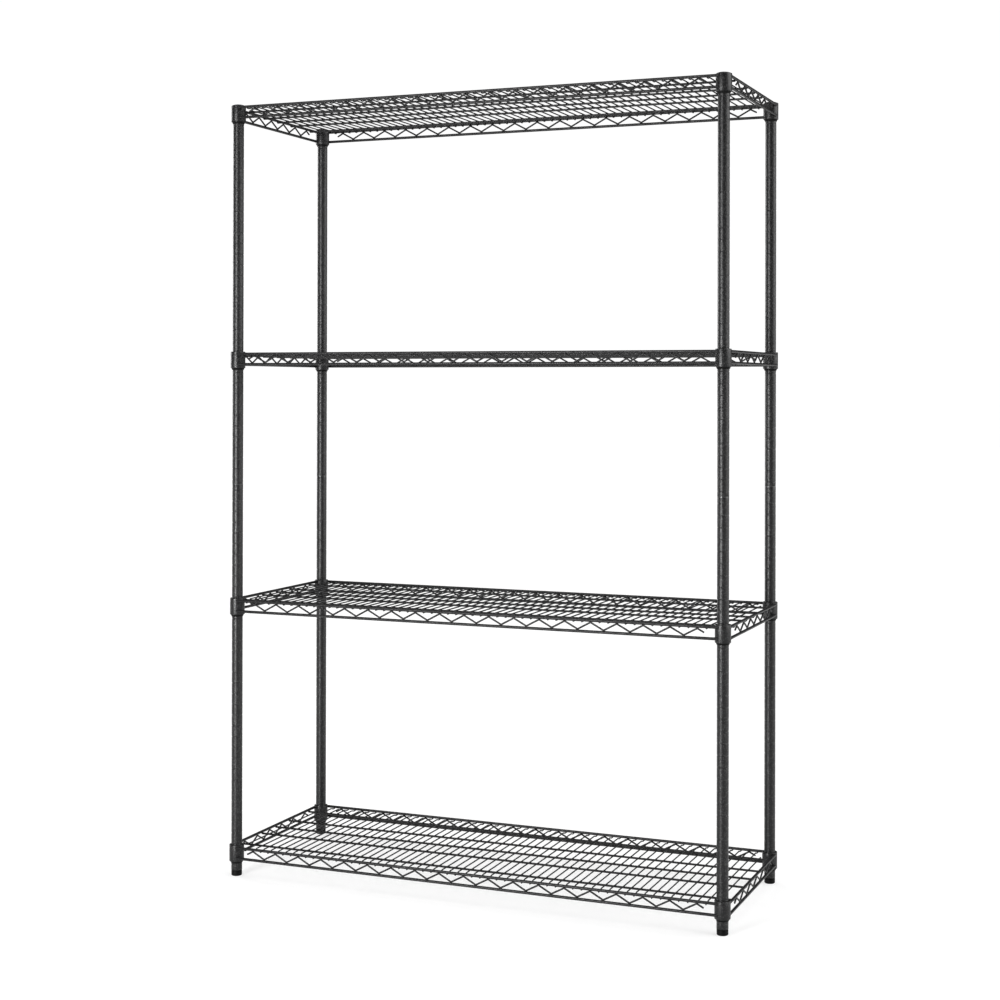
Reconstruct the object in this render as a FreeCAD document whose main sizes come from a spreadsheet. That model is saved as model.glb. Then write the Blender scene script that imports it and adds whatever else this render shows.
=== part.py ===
import FreeCAD, Part
import math
import os

import Sketcher

# Wire shelving rack: four round posts, four welded wire shelves, plastic split
# sleeves, post caps and levelling feet.  Millimetres, +Z up, front towards -Y,
# origin on the floor at the centre of the footprint.

os.makedirs("parts", exist_ok=True)
doc = FreeCAD.newDocument("wire_shelving_rack")

# ---------------------------------------------------------------- sizes

DRIVING_SIZES = [
    ("rack_width", 1219.2, "over the collars, left to right"),
    ("rack_depth", 457.2, "over the collars, front to back"),
    ("rack_height", 1828.8, "floor to the top of the post caps"),
    ("shelf_count", 4, "shelves, all alike"),
    ("first_shelf", 30.0, "floor to the lower end of the lowest sleeves"),
    ("shelf_step", 584.2, "23 grooves of 25.4 mm from shelf to shelf"),
    ("post_radius", 12.7, "outside of the post tube"),
    ("post_wall", 1.2, "tube wall"),
    ("post_base", 13.0, "floor to the lower end of the lower tube"),
    ("lower_tube", 914.4, "length of the lower tube"),
    ("joint_flange", 0.4, "steel flange seen between the two tubes"),
    ("joint_flange_radius", 12.65, "outside of that flange"),
    ("cap_height", 4.2, "cap standing above the upper tube"),
    ("groove_pitch", 25.4, "from one rolled groove to the next"),
    ("groove_depth", 0.6, "depth of a rolled groove"),
    ("groove_mouth", 2.4, "width of a groove at the tube's surface"),
    ("groove_floor", 1.0, "width of a groove at its floor"),
    ("groove_overcut", 0.2, "grooving tool's profile starts outside the tube"),
    ("bead_level", 20.0, "sleeve's inner bead above the sleeve's lower end"),
    ("bead_gap", 0.12, "sleeve's bead inside its groove, on every side"),
    ("collar_radius", 17.3, "outside of a shelf collar at its lower edge"),
    ("collar_low", 4.5, "lower edge of a collar above the sleeve's end"),
    ("collar_high", 43.2, "upper edge of a collar above the sleeve's end"),
    ("collar_draft", 0.05, "collar's outside slimmer at its upper edge by"),
    ("collar_chamfer", 0.7, "broken outer edges of a collar"),
    ("sleeve_high", 41.5, "height of a split sleeve"),
    ("sleeve_knee", 5.0, "height of the sleeve's bevelled lower end"),
    ("sleeve_end_radius", 13.5, "sleeve outside at its very end"),
    ("sleeve_knee_radius", 15.7, "sleeve outside just above the bevel"),
    ("sleeve_top_radius", 15.04, "sleeve outside at its upper end"),
    ("sleeve_gap", 0.3, "sleeve to collar, all round"),
    ("sleeve_post_gap", 0.03, "sleeve to post, all round"),
    ("slit_angle", 2.5, "opening between the two sleeve halves, degrees"),
    ("rail_radius", 3.15, "perimeter rail wire"),
    ("top_rail_drop", 5.5, "collar's upper edge down to the top rail's axis"),
    ("rail_spacing", 24.5, "top rail axis down to the bottom rail axis"),
    ("rail_end", 6.0, "rail end short of the post's axis"),
    ("cope_radius", 16.4, "rails stop at this radius about the post"),
    ("truss_radius", 1.9, "zigzag wire"),
    ("truss_pitch", 60.0, "from one truss peak to the next"),
    ("truss_peaks_long", 19, "peaks of a front or rear truss"),
    ("truss_peaks_short", 6, "peaks of an end truss"),
    ("truss_bend", 3.5, "centre-line radius of a truss bend"),
    ("truss_tail", 15.0, "loose end beyond the last peak"),
    ("truss_weld", 0.4, "truss bends sunk into the rails"),
    ("rib_radius", 2.3, "long ribs under the deck wires"),
    ("rib_drop", 4.3, "top rail axis down to the rib axis"),
    ("rib_inner", 68.0, "centre rib to the next"),
    ("rib_outer", 170.0, "centre rib to the outermost"),
    ("deck_radius", 1.45, "cross wires of the deck"),
    ("deck_pitch", 20.0, "from one cross wire to the next"),
    ("deck_count", 57, "cross wires that reach both long rails"),
    ("deck_drop", 0.7, "top rail axis down to the cross wires"),
    ("deck_end_drop", 3.9, "top rail axis down to the wires' tucked ends"),
    ("deck_end_past", 0.9, "wire end beyond the rail's axis"),
    ("deck_tuck", 7.0, "flat end of a wire inside the rail's axis"),
    ("deck_slope", 12.0, "length of the sloping stretch"),
    ("deck_bend", 8.0, "centre-line radius of a deck wire's bends"),
    ("short_wire", 173.0, "half length of the two outermost cross wires"),
    ("thread_radius", 4.76, "outside of the 3/8 inch threads"),
    ("thread_gap", 0.06, "running clearance of the threads"),
    ("thread_chamfer", 1.0, "broken ends of stems and studs"),
    ("bore_chamfer", 0.8, "countersink of a threaded bore"),
    ("plug_gap", 0.02, "plugs to tube bore"),
    ("plug_height", 20.0, "plugs pressed into the tubes"),
    ("insert_flange", 0.8, "insert's rim below the lower tube"),
    ("insert_radius", 12.5, "outside of that rim"),
    ("nut_depth", 1.0, "joining nut below the lower tube's upper end"),
    ("stud_length", 22.0, "joining stud below its flange"),
    ("cap_radius", 14.1, "rim of a post cap"),
    ("cap_rim", 1.0, "straight edge of the cap's rim"),
    ("cap_spigot", 14.0, "cap's spigot inside the tube"),
    ("foot_radius", 12.4, "levelling foot pad"),
    ("foot_height", 11.6, "levelling foot pad"),
    ("foot_bevel", 1.4, "broken edge under the pad"),
    ("foot_shoulder", 1.0, "small step on top of the pad"),
    ("stem_low", 3.3, "floor to the lower end of the threaded stem"),
    ("stem_length", 38.0, "length of the threaded stem"),
    ("stem_seat_gap", 0.3, "stem end to the floor of its hole in the pad"),
]

sheet = doc.addObject("Spreadsheet::Sheet", "sizes")
for row, (alias, number, note) in enumerate(DRIVING_SIZES, start=1):
    sheet.set(f"A{row}", alias.replace("_", " "))
    sheet.set(f"B{row}", str(number))
    sheet.set(f"C{row}", note)
    sheet.setAlias(f"B{row}", alias)
doc.recompute()


class Size:
    """A size in mm together with the sheet expression that gives it."""

    def __init__(self, value, text):
        self.value = float(value)
        self.text = text

    def __float__(self):
        return self.value

    def __add__(self, other):
        return Size(self.value + float(other), f"({self.text} + {words(other)})")

    def __sub__(self, other):
        return Size(self.value - float(other), f"({self.text} - {words(other)})")

    def __mul__(self, factor):
        return Size(self.value * float(factor), f"({self.text} * {words(factor)})")


def words(item):
    """The expression text of a Size or of a plain number."""
    return item.text if isinstance(item, Size) else str(item)


def size(alias):
    return Size(sheet.get(alias), f"sizes.{alias}")


NOTHING = Size(0, "0")
POST_X = size("rack_width") * 0.5 - size("collar_radius")
POST_Y = size("rack_depth") * 0.5 - size("collar_radius")
RAIL_X = size("rack_width") * 0.5 - size("rail_radius")
RAIL_Y = size("rack_depth") * 0.5 - size("rail_radius")
TOP_RAIL = size("collar_high") - size("top_rail_drop")
BOTTOM_RAIL = TOP_RAIL - size("rail_spacing")
BORE_RADIUS = size("post_radius") - size("post_wall")
JOINT_LEVEL = size("post_base") + size("lower_tube")
UPPER_BASE = JOINT_LEVEL + size("joint_flange")
UPPER_TUBE = size("rack_height") - size("cap_height") - UPPER_BASE
FIRST_BEAD = size("first_shelf") + size("bead_level")

SHELVES = range(1, int(float(size("shelf_count"))) + 1)
CORNERS = {
    "front_left": (-1, -1),
    "front_right": (1, -1),
    "rear_right": (1, 1),
    "rear_left": (-1, 1),
}

# ---------------------------------------------------------------- helpers


def bind(item, **properties):
    """Bind each named property of a document object to a Size."""
    for name, value in properties.items():
        item.setExpression(name, words(value))


def place(item, x=NOTHING, y=NOTHING, z=NOTHING):
    """Bind the Placement of a document object to three Sizes."""
    item.setExpression("Placement.Base.x", words(x))
    item.setExpression("Placement.Base.y", words(y))
    item.setExpression("Placement.Base.z", words(z))


def origin_part(body, role):
    """One of a body's own origin planes or axes."""
    return next(item for item in body.Origin.OriginFeatures if item.Role == role)


def outline_sketch(body, name, corners):
    """A closed outline on the body's XZ plane, every corner bound to the sheet.

    Each corner is (radius, height).  A corner (radius, height, "dome") ends an
    anticlockwise arc whose centre lies on the body's axis."""
    sketch = body.newObject("Sketcher::SketchObject", name)
    sketch.AttachmentSupport = [(origin_part(body, "XZ_Plane"), "")]
    sketch.MapMode = "FlatFace"
    points = [FreeCAD.Vector(float(c[0]), float(c[1]), 0) for c in corners]
    for index, corner in enumerate(corners):
        start = points[index - 1]
        end = points[index]
        if corner[-1] == "dome":
            sketch.addGeometry(Part.Arc(start, dome_point(start, end), end), False)
            sketch.addConstraint(Sketcher.Constraint("PointOnObject", index, 3, -2))
        else:
            sketch.addGeometry(Part.LineSegment(start, end), False)
    for index, corner in enumerate(corners):
        after = (index + 1) % len(corners)
        sketch.addConstraint(Sketcher.Constraint("Coincident", index, 2, after, 1))
        for axis, kind in ((0, "DistanceX"), (1, "DistanceY")):
            pin = Sketcher.Constraint(kind, -1, 1, index, 2, float(corner[axis]))
            number = sketch.addConstraint(pin)
            sketch.setExpression(f"Constraints[{number}]", words(corner[axis]))
    return sketch


def dome_point(start, end):
    """A point on the arc from start to end whose centre lies on the height axis."""
    squares = start.dot(start) - end.dot(end)
    centre = FreeCAD.Vector(0, squares / (2 * (start.y - end.y)), 0)
    half_way = ((start - centre) + (end - centre)).normalize()
    return centre + half_way * (start - centre).Length


def turned_body(name, corners, angle=360):
    """A body turned about the Z axis from an outline of (radius, height)."""
    body = doc.addObject("PartDesign::Body", name)
    sketch = outline_sketch(body, f"{name}_outline", corners)
    turned = body.newObject("PartDesign::Revolution", f"{name}_turned")
    turned.Profile = sketch
    turned.ReferenceAxis = (sketch, ["V_Axis"])
    turned.Angle = angle
    turned.Midplane = angle != 360
    body.Tip = turned
    return body


def mirrored(body, role):
    """Add the mirror image of a body's last feature across one of its planes."""
    image = body.newObject("PartDesign::Mirrored", f"{body.Name}_mirror")
    image.Originals = [body.Tip]
    image.MirrorPlane = (origin_part(body, role), [""])
    body.Tip = image


def at_corners(name, piece):
    """Four copies of a piece, one on each post's axis."""
    copies = []
    for corner, (side_x, side_y) in CORNERS.items():
        copy = doc.addObject("Part::Compound", f"{name}_{corner}")
        copy.Links = [piece]
        place(copy, POST_X * side_x, POST_Y * side_y)
        copies.append(copy)
    group = doc.addObject("Part::Compound", f"{name}_group")
    group.Links = copies
    return group


def instance(name, piece, x=NOTHING, y=NOTHING, z=NOTHING):
    """A named sub-part: one placed copy of a piece or of a group of pieces."""
    node = doc.addObject("Part::Compound", name)
    node.Label = name
    node.Links = [piece]
    place(node, x, y, z)
    return node


def compound_of(name, shapes):
    """A plain feature that holds separate solids built by Part's functions."""
    feature = doc.addObject("Part::Feature", name)
    feature.Shape = Part.makeCompound(shapes)
    return feature


def tangent_path(points, bend):
    """Straight runs through the points, joined by tangent arcs of one radius."""
    edges = []
    start = points[0]
    for before, corner, after in zip(points, points[1:], points[2:]):
        towards = (before - corner).normalize()
        away = (after - corner).normalize()
        half_turn = (math.pi - towards.getAngle(away)) / 2
        setback = bend * math.tan(half_turn)
        arc_begin = corner + towards * setback
        arc_finish = corner + away * setback
        inward = (towards + away).normalize()
        middle = corner + inward * (bend / math.cos(half_turn) - bend)
        edges.append(Part.makeLine(start, arc_begin))
        edges.append(Part.Arc(arc_begin, middle, arc_finish).toShape())
        start = arc_finish
    edges.append(Part.makeLine(start, points[-1]))
    return Part.Wire(edges)


def wire_along(points, bend, radius):
    """A round wire bent along the points."""
    path = tangent_path(points, bend)
    section = Part.Wire(Part.makeCircle(radius, points[0], points[1] - points[0]))
    return path.makePipeShell([section], True, False)


# ---------------------------------------------------------------- posts


def post_tube(name, length, first_groove, last_groove):
    """A tube with rolled grooves, its lower end at z = 0."""
    inner = BORE_RADIUS
    outer = size("post_radius")
    wall = [(inner, NOTHING), (outer, NOTHING), (outer, length), (inner, length)]
    body = turned_body(name, wall)
    doc.recompute()
    proud = outer + size("groove_overcut")
    floor = outer - size("groove_depth")
    mouth = size("groove_mouth") * 0.5
    flat = size("groove_floor") * 0.5
    notch = [
        (proud, first_groove - mouth),
        (proud, first_groove + mouth),
        (floor, first_groove + flat),
        (floor, first_groove - flat),
    ]
    sketch = outline_sketch(body, f"{name}_notch", notch)
    groove = body.newObject("PartDesign::Groove", f"{name}_groove")
    groove.Profile = sketch
    groove.ReferenceAxis = (sketch, ["V_Axis"])
    groove.Angle = 360
    pattern = body.newObject("PartDesign::LinearPattern", f"{name}_grooves")
    pattern.Originals = [groove]
    pattern.Direction = (origin_part(body, "Z_Axis"), [""])
    steps = round((float(last_groove) - float(first_groove)) / float(size("groove_pitch")))
    pattern.Occurrences = steps + 1
    bind(pattern, Length=size("groove_pitch") * steps)
    body.Tip = pattern
    return body


def post_cap():
    """Domed cap with a spigot, its rim resting on the tube's end at z = 0."""
    rim = size("cap_radius")
    spigot = BORE_RADIUS - size("plug_gap")
    top = size("cap_height")
    edge = size("cap_rim")
    corners = [
        (NOTHING, size("cap_spigot") * -1),
        (spigot, size("cap_spigot") * -1),
        (spigot, NOTHING),
        (rim, NOTHING),
        (rim, edge),
        (NOTHING, top, "dome"),
    ]
    return turned_body("cap", corners)


def joining_stud():
    """Plug of the upper tube, flange between the tubes and stud; flange at z = 0."""
    plug = BORE_RADIUS - size("plug_gap")
    flange = size("joint_flange_radius")
    flange_top = size("joint_flange")
    thread = size("thread_radius")
    chamfer = size("thread_chamfer")
    low = size("stud_length") * -1
    corners = [
        (NOTHING, low),
        (thread - chamfer, low),
        (thread, low + chamfer),
        (thread, NOTHING),
        (flange, NOTHING),
        (flange, flange_top),
        (plug, flange_top),
        (plug, flange_top + size("plug_height")),
        (NOTHING, flange_top + size("plug_height")),
    ]
    return turned_body("joining_stud", corners)


def threaded_plug(name, rim=None):
    """Bored plug pressed into a tube's end, with a rim below it if one is given.

    The lower face is at z = 0."""
    plug = BORE_RADIUS - size("plug_gap")
    bore = size("thread_radius") + size("thread_gap")
    chamfer = size("bore_chamfer")
    if rim is None:
        top = size("plug_height")
        foot = [(plug, NOTHING)]
    else:
        top = size("plug_height") + rim
        outer = size("insert_radius")
        foot = [(outer, NOTHING), (outer, rim), (plug, rim)]
    corners = [(bore + chamfer, NOTHING)] + foot + [(plug, top), (bore, top), (bore, chamfer)]
    return turned_body(name, corners)


def foot_pad():
    """Levelling foot: a moulded pad with a blind hole for its stem, floor at z = 0."""
    bore = size("thread_radius") + size("thread_gap")
    hole_floor = size("stem_low") - size("stem_seat_gap")
    radius = size("foot_radius")
    bevel = size("foot_bevel")
    shoulder = size("foot_shoulder")
    corners = [
        (NOTHING, NOTHING),
        (radius - bevel, NOTHING),
        (radius, bevel),
        (radius, size("foot_height") - shoulder),
        (radius - shoulder, size("foot_height") - shoulder),
        (radius - shoulder, size("foot_height")),
        (bore, size("foot_height")),
        (bore, hole_floor),
        (NOTHING, hole_floor),
    ]
    return turned_body("foot_pad", corners)


def foot_stem():
    """Threaded stem of a levelling foot, its lower end at z = 0."""
    thread = size("thread_radius")
    chamfer = size("thread_chamfer")
    corners = [
        (NOTHING, NOTHING),
        (thread - chamfer, NOTHING),
        (thread, chamfer),
        (thread, size("stem_length") - chamfer),
        (thread - chamfer, size("stem_length")),
        (NOTHING, size("stem_length")),
    ]
    return turned_body("foot_stem", corners)


# ---------------------------------------------------------------- shelf parts


def split_sleeve():
    """Two tapered half sleeves round a post, with a bead that sits in a groove."""
    inner = size("post_radius") + size("sleeve_post_gap")
    gap = size("bead_gap")
    bead_crest = size("post_radius") - size("groove_depth") + gap
    level = size("bead_level")
    mouth = size("groove_mouth") * 0.5 - gap
    flat = size("groove_floor") * 0.5 - gap
    corners = [
        (inner, NOTHING),
        (size("sleeve_end_radius"), NOTHING),
        (size("sleeve_knee_radius"), size("sleeve_knee")),
        (size("sleeve_top_radius"), size("sleeve_high")),
        (inner, size("sleeve_high")),
        (inner, level + mouth),
        (bead_crest, level + flat),
        (bead_crest, level - flat),
        (inner, level - mouth),
    ]
    body = turned_body("split_sleeve", corners, 180 - float(size("slit_angle")))
    mirrored(body, "YZ_Plane")
    return body


def collar():
    """Corner collar of a shelf: slightly drafted outside, bore tapered like the sleeve."""
    low = size("collar_low")
    high = size("collar_high")
    outer = size("collar_radius")
    outer_top = outer - size("collar_draft")
    chamfer = size("collar_chamfer")
    knee = size("sleeve_knee_radius") + size("sleeve_gap")
    top = size("sleeve_top_radius") + size("sleeve_gap")
    corners = [
        (knee, low),
        (outer - chamfer, low),
        (outer, low + chamfer),
        (outer_top, high - chamfer),
        (outer_top - chamfer, high),
        (top, high),
    ]
    return turned_body("collar", corners)


def cylinder(name, radius, length, axis):
    """A bound cylinder along X, Y or Z, centred on its own middle."""
    bar = doc.addObject("Part::Cylinder", name)
    bind(bar, Radius=radius, Height=length)
    turn = {"X": ((0, 1, 0), 90), "Y": ((1, 0, 0), -90), "Z": ((0, 0, 1), 0)}[axis]
    bar.Placement = FreeCAD.Placement(
        FreeCAD.Vector(0, 0, 0), FreeCAD.Rotation(FreeCAD.Vector(*turn[0]), turn[1])
    )
    return bar


def rail_set(name, level):
    """Four perimeter rails, coped so that they stop in the collars' walls."""
    reach_x = POST_X - size("rail_end")
    reach_y = POST_Y - size("rail_end")
    rails = []
    for side, sign in (("front", -1), ("rear", 1)):
        rail = cylinder(f"{name}_{side}", size("rail_radius"), reach_x * 2, "X")
        place(rail, reach_x * -1, RAIL_Y * sign, level)
        rails.append(rail)
    for side, sign in (("left", -1), ("right", 1)):
        rail = cylinder(f"{name}_{side}", size("rail_radius"), reach_y * 2, "Y")
        place(rail, RAIL_X * sign, reach_y * -1, level)
        rails.append(rail)
    bars = doc.addObject("Part::Compound", f"{name}_bars")
    bars.Links = rails
    copes = []
    for corner, (side_x, side_y) in CORNERS.items():
        cope = cylinder(f"{name}_cope_{corner}", size("cope_radius"), size("collar_high"), "Z")
        place(cope, POST_X * side_x, POST_Y * side_y)
        copes.append(cope)
    cutters = doc.addObject("Part::Compound", f"{name}_cutters")
    cutters.Links = copes
    coped = doc.addObject("Part::Cut", f"{name}_coped")
    coped.Base = bars
    coped.Tool = cutters
    return coped


def zigzag(peaks, place_point):
    """Truss centre line: peaks under the top rail, valleys on the bottom rail.

    place_point(distance along the rail, height) gives a point in the shelf's frame."""
    pitch = float(size("truss_pitch"))
    radius = float(size("truss_radius"))
    bend = float(size("truss_bend"))
    weld = float(size("truss_weld"))
    high = float(TOP_RAIL) - float(size("rail_radius")) - radius + weld
    low = float(BOTTOM_RAIL) + float(size("rail_radius")) + radius - weld
    # each bend's arc stays inside its corner, so the corners are set out by as much
    half_turn = math.atan2(high - low, pitch / 2)
    spare = bend / math.cos(half_turn) - bend
    high += spare
    low -= spare
    first = -(peaks - 1) * pitch / 2
    tail = float(size("truss_tail"))
    tail_height = high - (high - low) * tail / (pitch / 2)
    points = [place_point(first - tail, tail_height)]
    for number in range(peaks):
        along = first + number * pitch
        points.append(place_point(along, high))
        if number < peaks - 1:
            points.append(place_point(along + pitch / 2, low))
    points.append(place_point(-first + tail, tail_height))
    return wire_along(points, bend, radius)


def long_truss(name, side):
    """Zigzag wire of the front (side -1) or the rear (side 1)."""
    def place_point(along, height):
        return FreeCAD.Vector(along, side * float(RAIL_Y), height)

    peaks = int(float(size("truss_peaks_long")))
    return compound_of(name, [zigzag(peaks, place_point)])


def end_trusses():
    """The two zigzag wires of the left and right ends."""
    peaks = int(float(size("truss_peaks_short")))
    wires = []
    for side in (-1, 1):
        def place_point(along, height, across=side * float(RAIL_X)):
            return FreeCAD.Vector(across, along, height)

        wires.append(zigzag(peaks, place_point))
    return compound_of("end_trusses_wires", wires)


def ribs():
    """Five long ribs that run from end rail to end rail under the deck wires."""
    bars = []
    level = TOP_RAIL - size("rib_drop")
    inner = size("rib_inner")
    outer = size("rib_outer")
    for number, offset in enumerate((outer * -1, inner * -1, NOTHING, inner, outer), start=1):
        bar = cylinder(f"rib_{number}", size("rib_radius"), RAIL_X * 2, "X")
        place(bar, RAIL_X * -1, offset, level)
        bars.append(bar)
    group = doc.addObject("Part::Compound", "ribs_group")
    group.Links = bars
    return group


def deck_wires():
    """Cross wires laid on the ribs, their ends tucked under the long rails."""
    level = float(TOP_RAIL) - float(size("deck_drop"))
    end_level = float(TOP_RAIL) - float(size("deck_end_drop"))
    end = float(RAIL_Y) + float(size("deck_end_past"))
    outer_bend = float(RAIL_Y) - float(size("deck_tuck"))
    inner_bend = outer_bend - float(size("deck_slope"))
    radius = float(size("deck_radius"))
    bend = float(size("deck_bend"))
    count = int(float(size("deck_count")))
    pitch = float(size("deck_pitch"))
    wires = []
    for number in range(count):
        x = (number - (count - 1) / 2) * pitch
        points = [
            FreeCAD.Vector(x, -end, end_level),
            FreeCAD.Vector(x, -outer_bend, end_level),
            FreeCAD.Vector(x, -inner_bend, level),
            FreeCAD.Vector(x, inner_bend, level),
            FreeCAD.Vector(x, outer_bend, end_level),
            FreeCAD.Vector(x, end, end_level),
        ]
        wires.append(wire_along(points, bend, radius))
    # the outermost wires stop on the outer ribs, clear of the collars
    reach = float(size("short_wire"))
    for side in (-1, 1):
        x = side * (count + 1) / 2 * pitch
        start = FreeCAD.Vector(x, -reach, level)
        wires.append(Part.makeCylinder(radius, 2 * reach, start, FreeCAD.Vector(0, 1, 0)))
    return compound_of("deck_wires_group", wires)


# ---------------------------------------------------------------- assembly


def post_nodes():
    """Posts, caps and feet: one node for each piece at each corner."""
    groove_in_lower = FIRST_BEAD - size("groove_pitch") - size("post_base")
    # the highest groove of the lower tube lies one pitch or less below the joint
    grooved = float(size("lower_tube")) - float(groove_in_lower)
    lower_steps = math.floor(grooved / float(size("groove_pitch")))
    lower_last = groove_in_lower + size("groove_pitch") * lower_steps
    groove_in_upper = lower_last + size("groove_pitch") - size("lower_tube") - size("joint_flange")
    upper_last = FIRST_BEAD + size("shelf_step") * (len(SHELVES) - 1) - UPPER_BASE
    lower = post_tube("lower_tube_pattern", size("lower_tube"), groove_in_lower, lower_last)
    upper = post_tube("upper_tube_pattern", UPPER_TUBE, groove_in_upper, upper_last)
    cap = post_cap()
    cap_base = size("rack_height") - size("cap_height")
    pad = foot_pad()
    stem = foot_stem()
    nodes = []
    for corner, (side_x, side_y) in CORNERS.items():
        x = POST_X * side_x
        y = POST_Y * side_y
        nodes.append(instance(f"lower_post_{corner}", lower, x, y, size("post_base")))
        nodes.append(instance(f"upper_post_{corner}", upper, x, y, UPPER_BASE))
        nodes.append(instance(f"post_cap_{corner}", cap, x, y, cap_base))
        nodes.append(instance(f"foot_pad_{corner}", pad, x, y))
        nodes.append(instance(f"foot_stem_{corner}", stem, x, y, size("stem_low")))
    return nodes


def joint_nodes():
    """The hidden plugs: foot inserts, joining nuts and joining studs."""
    rim = size("insert_flange")
    nut_base = JOINT_LEVEL - size("plug_height") - size("nut_depth")
    inserts = at_corners("foot_insert", threaded_plug("foot_insert", rim))
    nuts = at_corners("joining_nut", threaded_plug("joining_nut"))
    studs = at_corners("joining_stud", joining_stud())
    return [
        instance("foot_inserts", inserts, z=size("post_base") - rim),
        instance("joining_nuts", nuts, z=nut_base),
        instance("joining_studs", studs, z=JOINT_LEVEL),
    ]


def shelf_nodes():
    """Every shelf's sleeves, collars, rails, trusses, ribs and deck wires."""
    pieces = {
        "sleeves": at_corners("split_sleeve", split_sleeve()),
        "collars": at_corners("collar", collar()),
        "top_rails": rail_set("top_rail", TOP_RAIL),
        "bottom_rails": rail_set("bottom_rail", BOTTOM_RAIL),
        "front_truss": long_truss("front_truss_wire", -1),
        "rear_truss": long_truss("rear_truss_wire", 1),
        "end_trusses": end_trusses(),
        "ribs": ribs(),
        "deck_wires": deck_wires(),
    }
    nodes = []
    for number in SHELVES:
        level = size("first_shelf") + size("shelf_step") * (number - 1)
        for name, piece in pieces.items():
            nodes.append(instance(f"shelf_{number}_{name}", piece, z=level))
    return nodes


nodes = post_nodes() + joint_nodes() + shelf_nodes()
doc.recompute()

for item in doc.Objects:
    if "Invalid" in item.State or "Error" in item.State:
        raise RuntimeError(f"{item.Name} did not compute: {item.State}")
for node in nodes:
    if node.Shape.isNull() or not node.Shape.isValid() or not node.Shape.Solids:
        raise RuntimeError(f"{node.Label} has no valid solid")
for node in nodes:
    node.Shape.exportStep(f"parts/{node.Label}.step")
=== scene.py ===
import math
import random

import bpy
import numpy as np
from mathutils import Matrix, Vector


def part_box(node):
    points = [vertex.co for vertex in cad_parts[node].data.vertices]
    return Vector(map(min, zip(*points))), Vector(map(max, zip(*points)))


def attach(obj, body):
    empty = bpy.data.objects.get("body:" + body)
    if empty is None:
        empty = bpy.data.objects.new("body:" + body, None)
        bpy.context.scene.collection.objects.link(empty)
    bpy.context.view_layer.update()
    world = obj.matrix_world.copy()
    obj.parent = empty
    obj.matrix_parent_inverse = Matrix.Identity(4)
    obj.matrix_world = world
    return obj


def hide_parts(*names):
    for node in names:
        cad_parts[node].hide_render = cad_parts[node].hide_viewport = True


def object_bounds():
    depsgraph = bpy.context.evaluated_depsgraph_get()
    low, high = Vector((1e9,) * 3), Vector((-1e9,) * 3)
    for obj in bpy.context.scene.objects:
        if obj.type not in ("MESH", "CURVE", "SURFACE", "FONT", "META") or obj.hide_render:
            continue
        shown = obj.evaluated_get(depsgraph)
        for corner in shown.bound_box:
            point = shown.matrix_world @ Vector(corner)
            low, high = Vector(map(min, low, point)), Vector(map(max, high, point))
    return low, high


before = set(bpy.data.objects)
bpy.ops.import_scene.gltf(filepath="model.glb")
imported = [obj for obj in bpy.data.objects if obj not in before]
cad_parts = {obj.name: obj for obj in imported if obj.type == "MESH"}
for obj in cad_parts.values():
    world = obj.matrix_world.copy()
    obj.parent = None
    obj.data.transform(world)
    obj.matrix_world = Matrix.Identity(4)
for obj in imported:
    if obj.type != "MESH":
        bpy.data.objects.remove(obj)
CAD_LOW, CAD_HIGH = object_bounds()

# ------------------------------------------------------------------ places

MM = 0.001
CORNERS = ("front_left", "front_right", "rear_right", "rear_left")
SHELVES = range(1, 5)


def middle(node):
    low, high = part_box(node)
    return (low + high) / 2


def side(corner):
    """The signs of X and Y at a corner."""
    x = -1 if corner.endswith("left") else 1
    y = -1 if corner.startswith("front") else 1
    return x, y


pad_middle = middle("foot_pad_front_right")
POST_X = pad_middle.x
POST_Y = -pad_middle.y

SLEEVE_LOW, SLEEVE_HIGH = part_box("shelf_1_sleeves")
COLLAR_LOW, COLLAR_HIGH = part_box("shelf_1_collars")
TOP_LOW, TOP_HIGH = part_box("shelf_1_top_rails")
BOTTOM_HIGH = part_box("shelf_1_bottom_rails")[1]
RIB_LOW, RIB_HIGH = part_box("shelf_1_ribs")
DECK_LOW, DECK_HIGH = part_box("shelf_1_deck_wires")
TRUSS_LOW, TRUSS_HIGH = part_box("shelf_1_front_truss")

# heights below are above a shelf's own level, the lower end of its sleeves
LEVEL = SLEEVE_LOW.z
COLLAR_RADIUS = COLLAR_HIGH.x - POST_X
COLLAR_BOTTOM = COLLAR_LOW.z - LEVEL
COLLAR_TOP = COLLAR_HIGH.z - LEVEL
SLEEVE_TOP = SLEEVE_HIGH.z - LEVEL
# the collar's bore and the sleeve's outside taper alike, with about 0.3 mm between them
BORE_KNEE_RADIUS = 16.0 * MM
BORE_TOP_RADIUS = 15.34 * MM
SLEEVE_END_RADIUS = 13.5 * MM
SLEEVE_KNEE_RADIUS = 15.7 * MM
SLEEVE_TOP_RADIUS = 15.04 * MM
SLEEVE_KNEE = 5.0 * MM
SLEEVE_SLIT = math.radians(2.5)
RAIL_RADIUS = (TOP_HIGH.z - TOP_LOW.z) / 2
TOP_RAIL = TOP_HIGH.z - RAIL_RADIUS - LEVEL
BOTTOM_RAIL = BOTTOM_HIGH.z - RAIL_RADIUS - LEVEL
RAIL_X = TOP_HIGH.x - RAIL_RADIUS
RAIL_Y = TOP_HIGH.y - RAIL_RADIUS
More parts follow.
